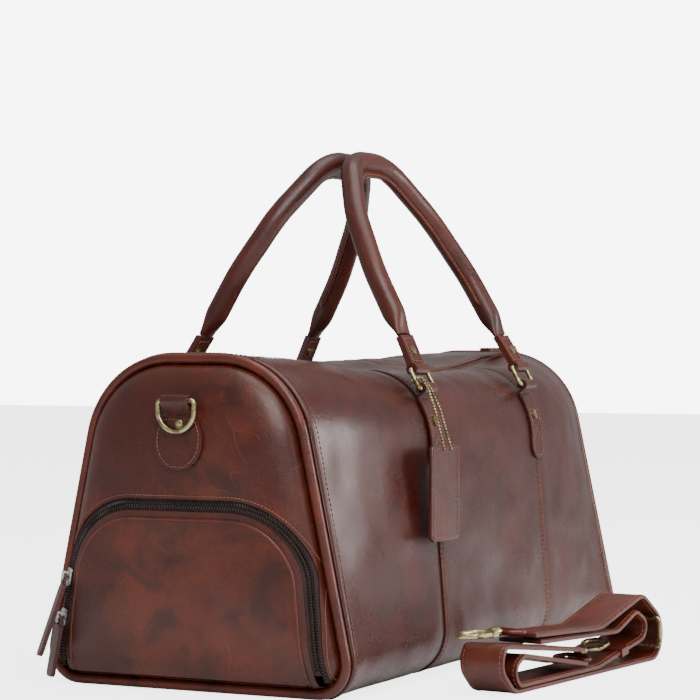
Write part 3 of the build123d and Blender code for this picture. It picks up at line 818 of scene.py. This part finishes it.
def arch_points(grow, low, step=2.0):
    """The arch from one foot over its crown to the other, grown outward by that much."""
    slope = (foot_half - crown_half) / crown_high
    foot = foot_half + grow - low * slope
    crown = crown_half + grow - grow * slope
    high = crown_high + grow
    corners = [(foot, low), (crown, high), (-crown, high), (-foot, low)]
    path = Path(rounded(corners, [arch_corner + grow] * 2, step))
    return [tuple(path.at(run)) for run in np.arange(0, path.length, step)] + [(-foot, low)]


def arch_reach(grow, low):
    points = arch_points(grow, low, 1.0)
    foot = points[0][0]
    points += [(y, low) for y in np.linspace(0, foot, 60)]
    return reach_of(points, arch_centre)


frame_reach = reach_of(outline_points, arch_centre)
teeth_gap = 4.8
facing_inner = 10.6
flap_lift = 1.1
surround = polar_piece("pocket_end_skin", -1, arch_reach(teeth_gap, 9.6), frame_reach, arch_centre, 22)
give(surround, end_leather, "root", ["pocket_end_panel"])
flap = polar_piece("pocket_flap_skin", -1, None, arch_reach(-facing_inner, 11.6), arch_centre, 30, lift=flap_lift)
give(flap, end_leather, "pocket_flap", ["pocket_flap_panel"])


def on_dome(points, end, lift):
    return [Vector((end * (dome_x(y, z) + lift), y, z)) for y, z in points]


stitches("pocket_surround_thread", [on_dome(arch_points(teeth_gap + 2.4, 14), -1, 0.3)], "root", 3.2)


def arch_strip(name, sign, inner, outer, low, sink, thickness):
    """A strip that follows the arch between two distances from its line, below the dome by sink."""
    near, far = (Path(arch_points(sign * grow, low)) for grow in (inner, outer))

    def strip_place(u, v):
        point = near.at(u * near.length).lerp(far.at(u * far.length), v)
        return (-(dome_x(point.x, point.y) - sink), point.x, point.y)

    strip = grid_piece(name, 200, 3, strip_place)
    face_out(strip, lambda c: Vector((-1, 0, 0)))
    wall(strip, thickness)
    return strip


facing = arch_strip("pocket_flap_facing", -1, teeth_gap, facing_inner + 2, 11.6, 0.1, 1.2)
give(facing, trim_leather, "pocket_flap")
# The flap's rolled edge is drawn in the lighter, more orange piping leather: partly the burnished edge of the flap,
# partly a painted highlight line along it.
rolled_edge = tube("pocket_flap_edge", on_dome(arch_points(-facing_inner - 0.4, 13), -1, flap_lift - 0.7), 1.3)
give(rolled_edge, piping_leather, "pocket_flap")

# %% Pocket zip
for name, sign, low, body, node in (("outer", 1, 14, "root", "pocket_zip_outer_half"), ("inner", -1, 20, "pocket_flap", "pocket_zip_inner_half")):
    strip = arch_strip(f"pocket_tape_{name}", sign, 0.3, 10, low, 1.9, 0.8)
    give(strip, zip_tape, body, [node])
    middle = Path(arch_points(sign * 1.7, low))
    teeth = []
    for i in range(int(middle.length / tooth_pitch)):
        run = (i + 0.5 + 0.25 * sign) * tooth_pitch
        flat = middle.at(run)
        step = middle.ahead(run)
        across = Vector((0, -step.y + 0.35 * sign * step.x, step.x + 0.35 * sign * step.y))
        teeth.append((Vector((-(dome_x(flat.x, flat.y) - 1.2), flat.x, flat.y)), across))
    give(copies(f"pocket_coil_{name}", tooth_unit, teeth), zip_coil, body)

# %% [markdown]
# The leather tabs are straps cut with a round end, wrapped round a bar, brought back
# and sewn and riveted to the bag. A strap is a narrow grid along its path, whose
# width follows the cut of the end.

# %% Straps
def strap_piece(name, path, width_at, side_way, thickness, rows, lift_of=None):
    """A strap along a Path of points: width_at(run) is its half width, side_way the direction across."""
    across = Vector(side_way)

    def place(u, v):
        run = path.length * v
        half = width_at(run)
        return path.at(run) + across * half * (2 * u - 1)

    piece = grid_piece(name, 6, rows, place)
    return piece


def round_end(half, run, start=0.0):
    """Half width near a semicircular end that begins at start."""
    short = half - max(0.0, run - start)
    return half if short <= 0 else max(0.4, math.sqrt(max(0.0, half * half - short * short)))


strap_half = 12
loop_radius = 4.7
lower_bar = (118.5, 235.0)
tab_low = 169
for side, side_name in side_names.items():
    rows = []
    tabs = []
    for x in (-seam_x, seam_x):
        skin_runs = np.linspace(run_at_height(x, tab_low), run_at_height(x, 226), 26)
        face = [on_skin(x, side, r, 2.6) for r in skin_runs]
        bar = Vector((x, side * lower_bar[0], lower_bar[1]))
        loop = [bar + Vector((0, side * loop_radius * math.cos(a), loop_radius * math.sin(a)))
                for a in np.linspace(-0.6, math.pi + 0.9, 18)]
        path = Path(face + loop)
        piece = strap_piece("tab", path, lambda r: round_end(strap_half, r), (1, 0, 0), 2.4, 70)
        face_out(piece, lambda c, s=side: Vector((0, c.y - s * 0.1165, c.z - 0.2)))
        tabs.append(piece)
        inner = strap_half - 2.6
        face_path = Path(face)
        outline = [face_path.at(r) + Vector((i * (round_end(strap_half, r) - 2.6), side * 0.25, 0))
                   for i, rs in ((1, np.linspace(44, 3.2, 24)), (-1, np.linspace(3.2, 44, 24))) for r in rs]
        rows += [outline + [outline[0]]]
        rows += [[face_path.at(16) + Vector((i * -inner, side * 0.25, 0)), face_path.at(36) + Vector((i * inner, side * 0.25, 0))] for i in (-1, 1)]
    clear()
    for piece in tabs:
        piece.select_set(True)
    bpy.context.view_layer.objects.active = tabs[0]
    bpy.ops.object.join()
    pair = bpy.context.object
    pair.name = f"{side_name}_ring_tabs"
    wall(pair, 2.3, 0.5)
    give(pair, trim_leather, "root", [f"{side_name}_handle_tabs"])
    stitches(f"{side_name}_ring_tab_thread", rows, "root", 3.4)

# %% End tabs for the D-rings
disc_z = 195
disc_half = 21
d_bar = (310.5, 228.0)


def disc_width(z):
    """Half width of the keyhole shaped tab at a height."""
    if z < disc_z:
        return max(0.5, math.sqrt(max(0.0, disc_half ** 2 - (disc_z - z) ** 2)))
    lean_in = ease((z - disc_z - 4) / 24)
    return disc_half + (strap_half - disc_half) * lean_in


for end, end_name in end_names.items():
    heights = [disc_z - disc_half * math.cos(a) for a in np.linspace(0.06, math.pi / 2, 16)] + list(np.linspace(198, 216, 7))
    face = [Vector((end * (dome_x(0, z) + 2.6), 0, z)) for z in heights]
    loop = [Vector((end * (d_bar[0] + loop_radius * math.cos(a)), 0, d_bar[1] + loop_radius * math.sin(a)))
            for a in np.linspace(-0.7, math.pi + 0.8, 18)]
    path = Path(face + loop)

    def tab_place(u, v, path=path, end=end):
        run = path.length * v
        point = path.at(run)
        y = disc_width(point.z if run < 45 else 240) * (2 * u - 1)
        drop = dome_x(0, point.z) - dome_x(y, point.z) if point.z < 220 else 0
        return (point.x - end * drop, y, point.z)

    tab = grid_piece(f"{end_name}_tab", 12, 80, tab_place)
    face_out(tab, lambda c, e=end: Vector((c.x - e * 0.3085, 0, c.z - 0.2)))
    wall(tab, 2.3, 0.5)
    give(tab, trim_leather, "root", [f"{end_name}_ring_tab"])
    edge = [(i * (disc_width(z) - 2.8), z + 1.2) for i, zs in ((1, np.linspace(212, disc_z - disc_half + 1.5, 40)),
            (-1, np.linspace(disc_z - disc_half + 1.5, 212, 40))) for z in zs]
    stitches(f"{end_name}_tab_thread", [on_dome(edge + [edge[0]], end, 2.9)], "root", 3.4)
    rivet = copies(f"{end_name}_tab_rivet", rivet_unit, [(Vector((end * (dome_x(0, 210) + 2.7), 0, 210)), (1, 0, 0.05))])
    give(rivet, antique_brass, "root")

# %% [markdown]
# The handles are rolled: leather wrapped round a rope core and sewn along its inner
# side, where the two edges stand out as a thin flange. The ends are pressed flat,
# folded round the ring's bar, sewn and riveted.

# %% Handles
handle_lean = math.radians(28.867)
upper_bar = (109.81, 250.763)
handle_corners = [(100.5, 26), (100.5, 32), (96, 92), (76, 150), (34, 204.67)]


def in_handle(side, flat, off=0.0):
    """A point of the handle's own plane, lifted off it, in the bag's frame."""
    x, up = flat[0], flat[1]
    y = side * (upper_bar[0] - math.sin(handle_lean) * up + math.cos(handle_lean) * off)
    return Vector((x, y, upper_bar[1] + math.cos(handle_lean) * up + math.sin(handle_lean) * off))


half_arch = handle_corners[1:]
arch_line = half_arch + [(-x, up) for x, up in half_arch[::-1]]
handle_path = Path(rounded(arch_line, [120, 90, 50, 50, 90, 120], 4))
rope_radius = 9.6
flat_reach = 26

for side, side_name in side_names.items():
    def roll_place(u, v, side=side):
        run = handle_path.length * v
        flat, step = handle_path.at(run), handle_path.ahead(run, 4)
        outward = Vector((-step.y, step.x))
        from_end = min(run, handle_path.length - run)
        full = ease((from_end + 4) / flat_reach)
        wide = 11.6 + (rope_radius - 11.6) * full
        thick = 2.9 + (rope_radius - 2.9) * full
        turn = 2 * math.pi * u
        creases = 1 + 0.012 * noise.noise(Vector((run * 0.09, math.cos(turn), side)))
        at = flat + outward * math.cos(turn) * wide * creases
        return in_handle(side, at, math.sin(turn) * thick * creases)

    roll = grid_piece(f"{side_name}_rolled_handle", 28, 150, roll_place, closed=True)
    bpy.ops.object.mode_set(mode="EDIT")
    bpy.ops.mesh.select_all(action="DESELECT")
    bpy.ops.mesh.select_non_manifold()
    bpy.ops.mesh.edge_face_add()
    bpy.ops.mesh.select_all(action="SELECT")
    bpy.ops.mesh.normals_make_consistent(inside=False)
    bpy.ops.object.mode_set(mode="OBJECT")
    give(roll, trim_leather, f"{side_name}_handle", [f"{side_name}_handle"])

    def flange_place(u, v, side=side):
        run = 30 + (handle_path.length - 60) * v
        flat, step = handle_path.at(run), handle_path.ahead(run, 4)
        inward = Vector((step.y, -step.x))
        if inward.dot(Vector((0, 60)) - flat) < 0:
            inward = -inward
        tall = 15.2 * ease(min(v, 1 - v) / 0.04 + 0.55)
        return in_handle(side, flat + inward * (7 + (tall - 7) * u), 1.3)

    flange = grid_piece(f"{side_name}_handle_flange", 4, 130, flange_place)
    face_out(flange, lambda c, s=side: Vector((0, s, 0.5)))
    wall(flange, 2.6, 0.5)
    give(flange, trim_leather, f"{side_name}_handle")
    rows = []
    for face in (-1.4, 1.4):
        row = []
        for run in np.linspace(34, handle_path.length - 34, 120):
            flat, step = handle_path.at(run), handle_path.ahead(run, 4)
            inward = Vector((step.y, -step.x))
            if inward.dot(Vector((0, 60)) - flat) < 0:
                inward = -inward
            row.append(in_handle(side, flat + inward * 12.6, face))
        rows.append(row)
    for end in (-1, 1):
        for face in (-2.8, 2.8):
            box = [(end * 106 + i * 9, up) for i, up in ((-1, 6), (1, 6), (1, 27), (-1, 27), (-1, 6))]
            rows.append([in_handle(side, (x - end * 5.5 * up / 32, up), face) for x, up in box])
    stitches(f"{side_name}_handle_thread", rows, f"{side_name}_handle", 3.6)

# %% [markdown]
# The luggage tag is two layers of leather sewn together round the edge,
# and hangs on a ball chain. The chain is one bead copied along two hanging strands.

# %% Tag and chain
tag_low, tag_high = (Vector(corner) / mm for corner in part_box("luggage_tag"))
tag_cut = 3
tag_middle = (tag_low.x + tag_high.x) / 2
tag_half = (tag_high.x - tag_low.x) / 2
tag_face = tag_low.y


def tag_width(z, inset=0.0):
    """Half width of the tag at a height, with its top corners cut and its foot rounded."""
    upper = min(tag_half, tag_half - tag_cut + (tag_high.z - z))
    lower = tag_half if z > tag_low.z + 5 else tag_half - 5 + math.sqrt(max(0.0, 25 - (tag_low.z + 5 - z) ** 2))
    return min(upper, lower) - inset


def tag_place(u, v):
    z = tag_low.z + (tag_high.z - tag_low.z) * v
    x = tag_middle + tag_width(z) * (2 * u - 1)
    return (x, tag_face + 0.5 * (1 - math.cos(4 * (u - 0.5))), z)


tag = grid_piece("tag_leather", 14, 30, tag_place)
face_out(tag, lambda c: Vector((0, -1, 0)))
wall(tag, tag_high.y - tag_low.y - 0.4, 0.6)
give(tag, trim_leather, "luggage_tag", ["luggage_tag"])
tag_rim = [(tag_middle + i * tag_width(z, 3.2), tag_face - 0.1, z) for i, zs in
           ((1, np.linspace(tag_low.z + 3.2, tag_high.z - 3.2, 40)), (-1, np.linspace(tag_high.z - 3.2, tag_low.z + 3.2, 40))) for z in zs]
stitches("tag_thread", [tag_rim + [tag_rim[0]]], "luggage_tag", 3.6)
bead_pitch = 2.7
eye_radius = 4.6
eye_low, eye_high = (Vector(corner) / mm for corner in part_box("tag_chain_eye"))
eye = (eye_low + eye_high) / 2
off_bar = Vector((0, -math.cos(handle_lean), math.sin(handle_lean)))
around = [eye + (Vector((math.cos(a), 0, 0)) + off_bar * math.sin(a)) * eye_radius for a in np.linspace(0, 2 * math.pi, 30)]
eye_beads = copies("chain_eye_beads", bead_unit, along(around, bead_pitch))
give(eye_beads, antique_brass, "front_rings", ["tag_chain_eye"])
beads = []
for strand in (-1, 1):
    line = [eye + off_bar * 5.6 + Vector((0.8 * strand, 0, 0)), Vector((-121 + 2.5 * strand, -127, 236)),
            Vector((-125 + 5 * strand, -136.5, 218)), Vector((-125 + 7 * strand, -146, tag_high.z - 5))]
    beads += along(line, bead_pitch)
give(copies("chain_beads", bead_unit, beads), antique_brass, "luggage_tag", ["tag_ball_chain"])

# %% [markdown]
# The shoulder strap lies folded on the floor in front of the bag, on its edge of
# folds, in two flat lengths. It is modelled directly as a strap: its route is drawn
# in the plane of the bundle and its width lies across it.

# %% Shoulder strap
bundle_turn = math.radians(-5.45)
bundle_start = Vector((-166, -233, 0))
bundle_along = Vector((math.cos(bundle_turn), math.sin(bundle_turn), 0))
bundle_across = Vector((-math.sin(bundle_turn), math.cos(bundle_turn), 0))
strap_wide = 38
strap_thick = 3.2
long_route = [(14, 42.5), (130, 37.5), (208, 58), (249, 32), (240, 1.7), (-20, 1.7), (-45, 24), (-33, 38.5), (100, 22.5)]
long_radii = [60, 16, 22, 18, 20, 14, 7]
short_route = [(104, 10.5), (-4, 28.5), (-23, 20), (-12, 5.8), (125, 5.8), (208, 21), (222, 32), (196, 45), (160, 31.5), (22, 36.5)]
short_radii = [7, 9, 9, 60, 9, 9, 9, 30]


def in_bundle(flat, across):
    return bundle_start + bundle_along * flat[0] + Vector((0, 0, flat[1])) + bundle_across * across


for name, route, radii in (("long", long_route, long_radii), ("short", short_route, short_radii)):
    path = Path(rounded([Vector(p) for p in route], radii, 2.5))

    def route_place(u, v, path=path):
        run = path.length * v
        wave = 0.0
        return in_bundle(path.at(run), strap_wide * u + wave)

    strap = grid_piece(f"shoulder_strap_{name}_leather", 8, 230, route_place)
    apply(strap, "SOLIDIFY", thickness=strap_thick * mm, offset=0)
    apply(strap, "BEVEL", width=0.5 * mm, segments=2, limit_method="ANGLE", angle_limit=math.radians(60))
    give(strap, strap_leather, "shoulder_strap", [f"shoulder_strap_{name}"])
    rows = []
    for across in (3, strap_wide - 3):
        for face in (-1.8, 1.8):
            row = []
            for run in np.linspace(3, path.length - 3, 200):
                step = path.ahead(run)
                row.append(in_bundle(path.at(run) + Vector((-step.y, step.x)) * face, across))
            rows.append(row)
    stitches(f"strap_{name}_thread", rows, "shoulder_strap", 4.0)
    print("strap", name, "is", round(path.length), "mm long")

# %% [markdown]
# Behind the leather are the lining, hung inside the shell and open at the mouth, and
# the cloth tunnel of the shoe pocket. They are only seen when the bag is open.

# %% Linings
lining_inset = 6.4
lining_end = 268


def lining_place(u, v):
    x = -lining_end + 2 * lining_end * u
    top = run_at_depth(x, 78, lining_inset)
    run = top * abs(2 * v - 1)
    side = -1 if v < 0.5 else 1
    fold = 0.8 * noise.noise(Vector((x * 0.03, run * 0.03, side))) - 1.2
    return settle(on_skin(x, side, run, fold, lining_inset))


lining = grid_piece("main_lining_cloth", 60, 90, lining_place)
face_out(lining, lambda c: Vector((0, -c.y, 0.13 - c.z)))
wall(lining, 0.7)
give(lining, lining_cloth, "root", ["main_lining"])
end_reach = reach_of([(y, z) for x, y, z in ring_points(lining_end, lining_inset + 1.5, 300)], dome_centre)
for end, end_name in end_names.items():
    if end < 0:
        continue
    def wall_place(u, v, end=end):
        turn = 2 * math.pi * u
        radius = v * float(np.interp(math.atan2(math.sin(turn), abs(math.cos(turn))), *end_reach))
        return (end * lining_end, radius * math.cos(turn), dome_centre + radius * math.sin(turn))

    cloth_end = grid_piece(f"{end_name}_lining", 90, 8, wall_place, closed=True)
    face_out(cloth_end, lambda c, e=end: Vector((-e, 0, 0)))
    wall(cloth_end, 0.7)
    give(cloth_end, lining_cloth, "root")

tunnel_back, tunnel_front = -80, -271
tunnel_line = Path(arch_points(-zip_half - 0.8, 11))


def tunnel_place(u, v):
    x = tunnel_front + (tunnel_back - tunnel_front) * v
    flat = tunnel_line.at(tunnel_line.length * u)
    fold = 1 - 0.006 * (1 + noise.noise(Vector((x * 0.04, u * 9, 2))))
    return (x, flat.x * fold, flat.y * fold)


tunnel = grid_piece("shoe_tunnel_cloth", 90, 30, tunnel_place)
face_out(tunnel, lambda c: Vector((0, -c.y, 0.08 - c.z)))
wall(tunnel, 0.8)
give(tunnel, lining_cloth, "root", ["shoe_compartment_liner"])
back_reach = arch_reach(-zip_half - 0.8, 11)


def tunnel_end_place(u, v):
    turn = 2 * math.pi * u
    radius = v * float(np.interp(math.atan2(math.sin(turn), abs(math.cos(turn))), *back_reach))
    return (tunnel_back, radius * math.cos(turn), arch_centre + radius * math.sin(turn))


tunnel_end = grid_piece("shoe_tunnel_end", 90, 8, tunnel_end_place, closed=True)
face_out(tunnel_end, lambda c: Vector((-1, 0, 0)))
wall(tunnel_end, 0.8)
give(tunnel_end, lining_cloth, "root")

# %% [markdown]
# The hard parts keep their CAD shape, which is already right, and only get a finish.

# %% Finishes of the CAD parts
leather_nodes = ["front_handle_ends", "back_handle_ends", "main_zip_pull", "pocket_upper_pull", "pocket_lower_pull", "snap_hook_loops", "strap_keeper"]
special = {name: trim_leather for name in leather_nodes}
special["snap_hook_loops"] = strap_leather
special["strap_keeper"] = strap_leather
special["base_stiffener_board"] = board_plastic
special["pocket_upper_slider"] = nickel
special["pocket_lower_slider"] = nickel
for name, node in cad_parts.items():
    if node.hide_render:
        continue
    node.data.materials.clear()
    node.data.materials.append(special.get(name, antique_brass))
    print(name, "keeps its CAD shape in", node.data.materials[0].name)
